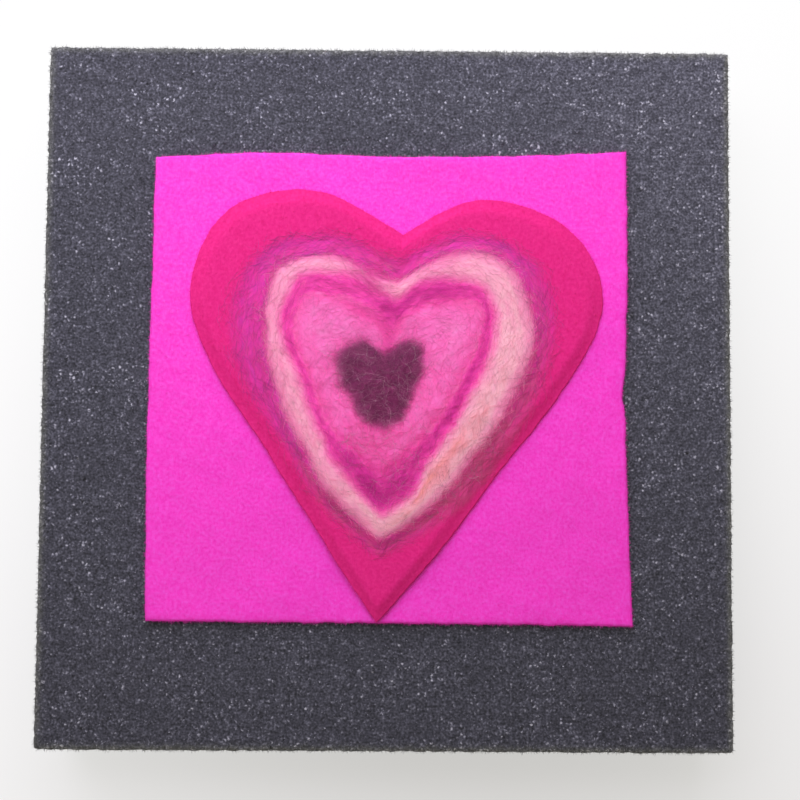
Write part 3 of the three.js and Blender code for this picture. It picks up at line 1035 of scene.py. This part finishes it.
def wool_tone(index, bearing, share, x, y):
    """Where on its ramp a wool colour stands at a place: share runs from its outer to its inner edge."""
    degrees = np.degrees(bearing) % 360

    def near(middle, half_width):
        return near_bearing(degrees, middle, half_width)

    # Streaks three times as long along the band as across it
    lane = heart_places(bearing, (6 + 8 * share) * MM)
    patches = 0.06 * ripple(*lane, 3.5 * MM, 71 + index) + 0.05 * ripple(*lane, 1.3 * MM, 81 + index)
    patches = patches + 0.03 * ripple(x, y, 3 * MM, 91 + index)
    if index == VIOLET:
        tone = 0.7 + patches - 0.36 * near(320, 92) - 0.2 * near(240, 40) - 0.1 * near(92, 30)
        tone = tone + 0.15 * near(222, 34) * step_up(share, 0.5, 1.0)
        haze = near(40, 32) + near(140, 36)
        return tone + 0.12 * haze * (1 - step_up(np.abs(share - 0.25), 0.0, 0.3))
    if index == PALE:
        tone = 0.45 + patches - 0.3 * (1 - step_up(share, 0.0, 0.42)) - 0.12 * step_up(share, 0.7, 1.0)
        tone = tone + 0.14 * near(0, 75) - 0.08 * near(150, 50)
        tone = tone - 0.4 * near(101, 22) - 0.15 * near(66, 16)
        # Peach fibres at the lower right, most of them in one spot
        peach = near(300, 62) * (0.5 + 0.5 * step_up(share, 0.1, 0.7))
        spot = near(289, 9) * near_bearing(360 * share, 270, 100)
        return tone - 0.4 * patches + 0.31 * peach + 0.12 * spot
    if index == MAGENTA:
        tone = 0.46 + patches - 0.2 * near(86, 22)
        tone = tone - 0.15 * near(60, 25) - 0.25 * near(262, 48)
        # On the right a dark streak runs inside a salmon one.
        streak = 1 - step_up(np.abs(share - 0.65), 0.05, 0.3)
        tone = tone + near(335, 80) * (0.22 * (1 - step_up(share, 0.1, 0.5)) - 0.18 * streak)
        return tone + 0.25 * (1 - step_up(np.minimum(share, 1 - share), 0.0, 0.42))
    if index == PINK:
        tone = 0.5 + 0.6 * patches - 0.2 * (1 - step_up(share, 0.0, 0.25)) - 0.18 * step_up(share, 0.8, 1.0)
        tone = tone + 0.1 * near(140, 35) + 0.1 * near(30, 35)
        tone = tone - 0.3 * near(108, 26) * (1 - step_up(share, 0.15, 0.5))
        return tone - 0.14 * near(258, 45) - 0.3 * near(88, 20)
    return 0.42 + 1.5 * patches + 0.25 * (1 - step_up(share, 0.0, 0.25))


def ramp_colour(stops, tone):
    """Linear red, green and blue on a ramp of stops."""
    ordered = sorted(stops)
    colours = np.array([linear(colour)[:3] for _, colour in ordered])
    places = [place for place, _ in ordered]
    return np.stack([np.interp(tone, places, colours[:, c]) for c in range(3)], axis=-1)


def wool_colour(bearing, reach):
    """The colour of the needled wool, where each dye mixes with its neighbours along the seams."""
    edges = [wool_edge(k, bearing) for k in WOOLS] + [np.full_like(reach, -1.0)]
    blends = BLENDS + (1.0,)
    x, y = heart_places(bearing, reach)
    colour = np.zeros(reach.shape + (3,))
    total = np.zeros(reach.shape)
    for k in WOOLS:
        inner = np.maximum(edges[k + 1], 0)
        share = np.clip((edges[k] - reach) / (edges[k] - inner), 0, 1)
        weight = step_up(edges[k] - reach, -blends[k], blends[k])
        weight = weight * step_up(reach - edges[k + 1], -blends[k + 1], blends[k + 1])
        if k == VIOLET:
            # A trace of violet all over keeps the sum above 0 outside the wool.
            weight = np.maximum(weight, 1e-3)
        colour += weight[..., None] * ramp_colour(WOOL_STOPS[k], wool_tone(k, bearing, share, x, y))
        total += weight
    # Needle pricks are painted darker, as painted shade.
    return colour / total[..., None] * (1 - PRICK_SHADE * prick_share(x, y))[..., None]


def wool_material(name, loose=False, stops=None):
    """Dyed sheep's wool: matt, and a little paler where it is seen edge on.

    Wool needled flat takes its colours from its dye attribute, and is streaked along the way it was laid.
    Loose fibres take the same dye, each a little darker or lighter by its tone, and stray fibres take their
    colour from a ramp of stops.
    """
    looks = {"Roughness": 0.85, "Specular IOR Level": 0.15, "Sheen Weight": 0.2, "Sheen Roughness": 0.5}
    material, tree, shader = new_material(name, looks)
    dye = add(tree, "ShaderNodeAttribute", attribute_name="dye").outputs["Color"]
    tone = add(tree, "ShaderNodeAttribute", attribute_name="tone").outputs["Fac"]
    if stops:
        colour = add(tree, "ShaderNodeValToRGB", [tone], stops=stops)
    elif loose:
        colour = add(tree, VECTOR_MATH, {0: dye, "Scale": tone}, operation="SCALE")
    else:
        # The lay map is in metres along and across the band. Real fibres are 0.02 to 0.04 mm thick, which is
        # too fine to show, so the streaks are drawn at 0.1 mm.
        place = add(tree, "ShaderNodeUVMap", uv_map="lay")
        scale = (1 / WOOL_FIBRE_LENGTH, 1 / WOOL_FIBRE_WIDTH, 1.0)
        nap = crossed_streaks(tree, place, WOOL_TURNS, scale, {"Detail": 2.0, "Distortion": 1.2})
        strength = add(
            tree,
            "ShaderNodeMapRange",
            {"Value": nap, "From Min": 0.45, "From Max": 0.75, "To Min": 0.92, "To Max": 1.06},
        )
        colour = add(tree, VECTOR_MATH, {0: dye, "Scale": strength}, operation="SCALE")
        bump = add(tree, "ShaderNodeBump", {"Height": nap, "Strength": 0.2, "Distance": WOOL_BUMP})
        tree.links.new(bump.outputs[0], shader.inputs["Normal"])
    tree.links.new(colour.outputs[0], shader.inputs["Base Color"])
    return material


WOOL_BEARINGS = 540
WOOL_ROWS = (18, 26, 22, 34, 30)
# The plum wool's rows end just short of the middle, and a pole closes them.
PLUM_END = 0.97
WOOL_MAP_SPAN = 120 * MM
# How far the wool beds reach down into the felt
BED_ROOT = 0.15 * MM
WOOL_CREASE = math.radians(60)


def wool_grid(index, shares):
    """Bearings, reaches and places over one wool colour, by rows from outer to inner share."""
    bearing = turn_round(WOOL_BEARINGS)
    outer = wool_edge(index, bearing)
    inner = np.zeros_like(outer) if index == PLUM else wool_edge(index + 1, bearing)
    reach = outer[None] + (inner - outer)[None] * np.asarray(shares)[:, None]
    bearing = np.broadcast_to(bearing, reach.shape)
    x, y = heart_places(bearing, reach)
    return bearing, reach, x, y


def make_wool_bed(index):
    shares = np.linspace(SOLID_FROM[index], PLUM_END if index == PLUM else 1.0, WOOL_ROWS[index])
    bearing, reach, x, y = wool_grid(index, shares)
    level = wool_level(bearing, reach)
    dye = wool_colour(bearing, reach)
    foot = HEART_TOP + heart_rise(x, y) - BED_ROOT
    if SOLID_FROM[index]:
        level[0] = foot[0] + 0.01 * MM
    rows = [np.stack([x[0], y[0], foot[0]], axis=1)]
    rows += [np.stack([x[k], y[k], level[k]], axis=1) for k in range(len(shares))]
    dyes = [dye[0]] + list(dye)
    if index == PLUM:
        poles = [[*HEART_MIDDLE, np.mean(foot)], [*HEART_MIDDLE, np.mean(rows[-1][:, 2])]]
        points = np.concatenate(rows + [poles])
        faces = loop_quads(len(rows), WOOL_BEARINGS).tolist() + cap(len(rows), WOOL_BEARINGS)
        lay = points[:, :2]
        dyes.append(dye[-1, :2])
    else:
        rows.append(np.stack([x[-1], y[-1], foot[-1]], axis=1))
        dyes.append(dye[-1])
        points = np.concatenate(rows)
        # The last loop joins the first, under the band.
        last = (len(rows) - 1) * WOOL_BEARINGS
        here = np.arange(WOOL_BEARINGS)
        after = (here + 1) % WOOL_BEARINGS
        faces = loop_quads(len(rows), WOOL_BEARINGS).tolist()
        faces += np.stack([last + here, last + after, after, here], axis=-1).tolist()
        along = turn_round(WOOL_BEARINGS) * np.mean(reach)
        across = np.arange(len(rows)) * np.mean(np.abs(np.diff(reach, axis=0)))
        lay = np.stack([np.tile(along, len(rows)), np.repeat(across, WOOL_BEARINGS)], axis=1)
    name = WOOL_NODES[index]
    material = wool_material(name.replace("_", " ") + " needled flat")
    mesh = mesh_from(name + "_bed", points, faces, material)
    mesh.set_sharp_from_angle(angle=WOOL_CREASE)
    set_attribute(mesh, "dye", np.concatenate(dyes))
    set_uv(mesh, "lay", lay)
    set_flat_uv(mesh, points, HEART_MIDDLE, WOOL_MAP_SPAN)
    work_piece(name + "_bed", mesh, WOOL_SLOTS[index], name)


# Loose fibres
FIBRE_FLOATS = (
    "Fibres per m2",
    "Length",
    "Thickness",
    "Spin",
    "Curl width",
    "Curl reach",
    "Lift",
    "Tone",
    "Tone spread",
)
# A ray is cast down from this far over a fibre, this far, to find the ground.
RAY_START = (0, 0, 0.05)
RAY_LENGTH = 0.2


def fibre_tree():
    """Fibres sown on a surface: each is laid along the surface's lay, curled, and pressed onto the ground."""
    tree, sizes = new_tree(
        "laid fibres", Object=["Ground"], Float=FIBRE_FLOATS, Int=["Points", "Seed"], Material=["Material"]
    )
    growth = add(tree, READ, ["growth"], data_type="FLOAT")
    density = add(tree, MATH, [growth, sizes["Fibres per m2"]], operation="MULTIPLY")
    spots = add(
        tree,
        "GeometryNodeDistributePointsOnFaces",
        {"Mesh": sizes["Geometry"], "Density": density, "Seed": sizes["Seed"]},
        distribute_method="RANDOM",
    )
    lay = add(tree, READ, ["lay"], data_type="FLOAT_VECTOR")
    aligned = add(tree, "FunctionNodeAlignRotationToVector", {"Vector": lay}, axis="X")
    less = add(tree, MATH, [sizes["Spin"], -1.0], operation="MULTIPLY")
    angle = add(tree, RANDOM, {2: less, 3: sizes["Spin"], "Seed": 21}, data_type="FLOAT").outputs[1]
    swing = add(tree, "FunctionNodeAxisAngleToRotation", {"Axis": (0, 0, 1), "Angle": angle})
    heading = add(tree, "FunctionNodeRotateRotation", [aligned, swing], rotation_space="GLOBAL")
    half = add(tree, MATH, [sizes["Length"], 0.5], operation="MULTIPLY")
    back = add(tree, MATH, [sizes["Length"], -0.5], operation="MULTIPLY")
    start = add(tree, "ShaderNodeCombineXYZ", [back])
    end = add(tree, "ShaderNodeCombineXYZ", [half])
    line = add(tree, "GeometryNodeCurvePrimitiveLine", {"Start": start, "End": end})
    fine = add(tree, "GeometryNodeResampleCurve", {"Curve": line, "Count": sizes["Points"]})
    run = add(tree, "GeometryNodeSplineParameter").outputs["Factor"]
    stored = {"Geometry": fine, "Name": "run", "Value": run}
    marked = add(tree, STORE, stored, data_type="FLOAT", domain="POINT")
    size = add(tree, RANDOM, {2: 0.45, 3: 1.3, "Seed": 22}, data_type="FLOAT").outputs[1]
    placed = add(
        tree,
        "GeometryNodeInstanceOnPoints",
        {"Points": spots.outputs["Points"], "Instance": marked, "Rotation": heading, "Scale": size},
    )
    apart = add(tree, RANDOM, {2: -1.0, 3: 1.0, "Seed": 23}, data_type="FLOAT").outputs[1]
    own_tone = add(tree, MATH, [apart, sizes["Tone spread"], sizes["Tone"]], operation="MULTIPLY_ADD")
    stored = {"Geometry": placed, "Name": "tone", "Value": own_tone}
    toned = add(tree, STORE, stored, data_type="FLOAT", domain="INSTANCE")
    chance = add(tree, RANDOM, {0: (0, 0, 0), 1: (1, 1, 1), "Seed": 24}, data_type="FLOAT_VECTOR")
    stored = {"Geometry": toned, "Name": "chance", "Value": chance}
    dealt = add(tree, STORE, stored, data_type="FLOAT_VECTOR", domain="INSTANCE")
    loose = add(tree, "GeometryNodeRealizeInstances", [dealt])
    # Curl: every fibre reads its own part of the same noise.
    luck = add(tree, READ, ["chance"], data_type="FLOAT_VECTOR")
    apart_by = add(tree, VECTOR_MATH, {0: luck, "Scale": 3.0}, operation="SCALE")
    place = add(tree, "GeometryNodeInputPosition")
    shifted = add(tree, VECTOR_MATH, [place, apart_by], operation="ADD")
    pitch = add(tree, MATH, [1.0, sizes["Curl width"]], operation="DIVIDE")
    noise = {"Vector": shifted, "Scale": pitch, "Detail": 1.5, "Roughness": 0.6}
    wave = add(tree, "ShaderNodeTexNoise", noise).outputs["Color"]
    centred = add(tree, VECTOR_MATH, [wave, (0.5, 0.5, 0.5)], operation="SUBTRACT")
    wide = add(tree, MATH, [sizes["Curl reach"], 4.0], operation="MULTIPLY")
    flat = add(tree, VECTOR_MATH, [centred, (1, 1, 0)], operation="MULTIPLY")
    curl = add(tree, VECTOR_MATH, {0: flat, "Scale": wide}, operation="SCALE")
    curled = add(tree, "GeometryNodeSetPosition", {"Geometry": loose, "Offset": curl})
    # Each point drops onto the ground, and the fibre arches a little between its ends.
    ground = add(tree, "GeometryNodeObjectInfo", {"Object": sizes["Ground"]}, transform_space="RELATIVE")
    landing = add(
        tree,
        "GeometryNodeRaycast",
        {
            "Target Geometry": ground.outputs["Geometry"],
            "Source Position": add(tree, VECTOR_MATH, [place, RAY_START], operation="ADD"),
            "Ray Direction": (0, 0, -1),
            "Ray Length": RAY_LENGTH,
        },
    ).outputs
    share = add(tree, READ, ["run"], data_type="FLOAT")
    turn = add(tree, MATH, [share, math.pi], operation="MULTIPLY")
    arch = add(tree, MATH, [turn], operation="SINE")
    luck_parts = add(tree, "ShaderNodeSeparateXYZ", [luck]).outputs
    rare = add(tree, MATH, [luck_parts[0], 3.0], operation="POWER")
    height = add(tree, MATH, [rare, arch], operation="MULTIPLY")
    bob = add(tree, "ShaderNodeSeparateXYZ", [centred]).outputs[2]
    height = add(tree, MATH, [bob, 0.5, height], operation="MULTIPLY_ADD")
    height = add(tree, MATH, [height, 0.12], operation="ADD")
    height = add(tree, MATH, [height, sizes["Lift"]], operation="MULTIPLY")
    stand = add(tree, "ShaderNodeCombineXYZ", {2: height})
    resting = add(tree, VECTOR_MATH, [landing["Hit Position"], stand], operation="ADD")
    moved = {"Geometry": curled, "Selection": landing["Is Hit"], "Position": resting}
    pressed = add(tree, "GeometryNodeSetPosition", moved)
    taper = add(tree, MATH, [arch, 0.85, 0.2], operation="MULTIPLY_ADD")
    weight = add(tree, "ShaderNodeMapRange", {"Value": luck_parts[1], "To Min": 0.6, "To Max": 1.3})
    thick = add(tree, MATH, [taper, weight], operation="MULTIPLY")
    radius = add(tree, MATH, [sizes["Thickness"], 0.5], operation="MULTIPLY")
    section = add(tree, "GeometryNodeCurvePrimitiveCircle", {"Resolution": 3, "Radius": radius})
    swept = {"Curve": pressed, "Profile Curve": section, "Scale": thick, "Fill Caps": True}
    tube = add(tree, "GeometryNodeCurveToMesh", swept)
    smooth = add(tree, "GeometryNodeSetShadeSmooth", {"Geometry": tube})
    return end_tree(tree, smooth, sizes["Material"])


def make_fibres(name, slot, start, tree, sizes):
    mesh = run_tree(start, tree, sizes)
    set_flat_uv(mesh, places_of(mesh), HEART_MIDDLE, WOOL_MAP_SPAN)
    for extra in ("chance", "growth", "lay", "run"):
        if extra in mesh.attributes:
            mesh.attributes.remove(mesh.attributes[extra])
    work_piece(name, mesh, slot)


GROUND_BEARINGS = 720
GROUND_ROWS = 150
# The ground ends just short of the heart's middle. Outside the heart it goes on over a strip of backing felt.
GROUND_END = 0.004
GROUND_STRIP = (15 * MM, 0.3 * MM)


def ground_mesh():
    """The top of all the wool, the felt heart and a strip of backing felt, for fibres to lie on."""
    bearing = turn_round(GROUND_BEARINGS)
    edge = heart_edge(bearing)
    rows = []
    for outside in GROUND_STRIP:
        x, y = heart_places(bearing, edge + outside)
        rows.append(np.stack([x, y, np.full(GROUND_BEARINGS, BACKING_TOP)], axis=1))
    edge_drop = HEART_EDGE_SINK + (1 - HEART_EDGE_SHARE) * (HEART_TOP - HEART_UNDER)
    for share in np.linspace(1.0, GROUND_END, GROUND_ROWS):
        x, y = heart_places(bearing, edge * share)
        level = wool_level(bearing, edge * share) - edge_drop * edge_press(edge * (1 - share))
        rows.append(np.stack([x, y, level], axis=1))
    return mesh_from("ground", np.concatenate(rows), loop_quads(len(rows), GROUND_BEARINGS))


# For each wool: fibres to the square metre, length, spin either way, reach of its curls, height off the bed,
# and how far its fibres differ in tone. Real fibres are finer and many more.
WOOL_FIBRES = (
    (2_000_000.0, 5 * MM, 0.9, 0.6 * MM, 0.14 * MM, 0.32),
    (2_200_000.0, 5 * MM, 1.0, 0.6 * MM, 0.1 * MM, 0.25),
    (2_600_000.0, 5 * MM, 1.0, 0.6 * MM, 0.1 * MM, 0.26),
    (2_400_000.0, 5 * MM, 1.3, 0.6 * MM, 0.1 * MM, 0.26),
    (6_000_000.0, 4 * MM, 1.57, 0.8 * MM, 0.2 * MM, 0.3),
)
WOOL_CURL_WIDTH = 3.5 * MM
WOOL_FIBRE_THICKNESS = 0.06 * MM
# From where to where across its colour each wool's fibres are sown, a little past its edges
SOWN = ((-0.3, 1.05), (-0.3, 1.15), (-0.12, 1.15), (-0.12, 1.15), (-0.16, PLUM_END))
SOWING_ROWS = 30
STRAY_ROWS = 60
STRAY_SIZES = {
    "Fibres per m2": 500_000.0,
    "Length": 7 * MM,
    "Thickness": 0.045 * MM,
    "Spin": math.pi,
    "Curl width": 4 * MM,
    "Curl reach": 1.6 * MM,
    "Lift": 0.4 * MM,
    "Tone": 0.5,
    "Tone spread": 0.5,
    "Points": 14,
    "Seed": SEED,
}


def sowing_mesh(points, growth, lay, dye):
    """An open strip of rows of points, with how thickly fibres grow on it, their lay and their dye."""
    mesh = mesh_from("sowing", points.reshape(-1, 3), loop_quads(len(points), WOOL_BEARINGS))
    set_attribute(mesh, "growth", np.ravel(growth))
    set_attribute(mesh, "lay", lay.reshape(-1, 3))
    set_attribute(mesh, "dye", dye.reshape(-1, 3))
    return mesh


def sowing_strip(index):
    """A strip over one wool colour and a little past its edges."""
    shares = np.linspace(*SOWN[index], SOWING_ROWS)
    bearing, reach, x, y = wool_grid(index, shares)
    share = np.broadcast_to(shares[:, None], reach.shape)
    points = np.stack([x, y, HEART_TOP + heart_rise(x, y)], axis=-1)
    ahead = np.roll(points, -1, axis=1) - np.roll(points, 1, axis=1)
    ahead[..., 2] = 0
    ahead /= np.linalg.norm(ahead, axis=-1, keepdims=True)
    if index == VIOLET:
        growth = step_up(share, -0.3, 0.3) * (1 - 0.5 * step_up(share, 0.9, 1.05))
    else:
        growth = step_up(share, shares[0], 0.12)
        growth = growth * (1 - step_up(share, 0.88, max(1.0, shares[-1])) * (index < PLUM))
    if index == PALE:
        # The pale pink wool frays over the violet, in its own colour.
        dye = wool_colour(bearing, np.minimum(reach, wool_edge(PALE, bearing) - 1.5 * MM))
    else:
        dye = wool_colour(bearing, reach)
    if index == VIOLET:
        # Bluer fibres are carded into the violet wool, fewest at the lower right.
        chance = np.random.default_rng(65).uniform(0, 1, reach.shape)
        bluer = chance < 0.4 - 0.35 * near_bearing(np.degrees(bearing), 310, 80)
        dye = np.where(bluer[..., None], 0.4 * dye + 0.6 * np.array(linear(VIOLET_FIBRE)[:3]), dye)
    return sowing_mesh(points, growth, ahead, dye)


def stray_strip():
    """All of the wool, with most stray fibres over the plum heart, below it and round the pale pink wool."""
    bearing = turn_round(WOOL_BEARINGS)
    outer = wool_edge(VIOLET, bearing)
    reach = outer[None] * np.linspace(0.95, 0.02, STRAY_ROWS)[:, None]
    bearing = np.broadcast_to(bearing, reach.shape)
    degrees = np.degrees(bearing)
    x, y = heart_places(bearing, reach)
    points = np.stack([x, y, HEART_TOP + heart_rise(x, y)], axis=-1)
    pale = wool_edge(PALE, bearing)
    magenta = wool_edge(MAGENTA, bearing)
    plum = wool_edge(PLUM, bearing)
    on_plum = 1 - step_up(reach, plum, plum + 4 * MM)
    below = near_bearing(degrees, 270, 60) * (1 - step_up(reach, magenta - 2 * MM, magenta + 1 * MM))
    frayed = near_bearing(degrees, 300, 45) * step_up(reach, pale, pale + 2 * MM)
    fringe = 1 - step_up(np.abs(reach - pale), 0.5 * MM, 3 * MM)
    growth = np.max([on_plum, 0.6 * below, 0.9 * frayed, 0.6 * fringe], axis=0)
    lay = np.broadcast_to(np.array([1.0, 0.0, 0.0]), points.shape)
    return sowing_mesh(points, growth, lay, wool_colour(bearing, reach))


def make_wool():
    ground = new_object("ground", ground_mesh())
    tree = fibre_tree()
    for index in WOOLS:
        make_wool_bed(index)
        density, length, spin, reach, lift, spread = WOOL_FIBRES[index]
        name = WOOL_NODES[index]
        sizes = {
            "Ground": ground,
            "Fibres per m2": density,
            "Length": length,
            "Thickness": WOOL_FIBRE_THICKNESS,
            "Spin": spin,
            "Curl width": WOOL_CURL_WIDTH,
            "Curl reach": reach,
            "Lift": lift,
            "Tone": 1.0,
            "Tone spread": spread,
            "Points": 7,
            "Material": wool_material(name.replace("_", " ") + " loose fibres", loose=True),
            "Seed": SEED + index,
        }
        make_fibres(name + "_fibres", WOOL_SLOTS[index], sowing_strip(index), tree, sizes)
    material = wool_material("stray pink wool fibres", stops=STRAY_STOPS)
    sizes = STRAY_SIZES | {"Ground": ground, "Material": material}
    make_fibres("stray_wool_fibres", "pink_wool", stray_strip(), tree, sizes)
    bpy.data.objects.remove(ground)


make_camera()
make_light()
make_table()
make_foam()
backing_felt, backing_nap = make_backing()
heart_felt, heart_nap = make_heart()
make_wool()
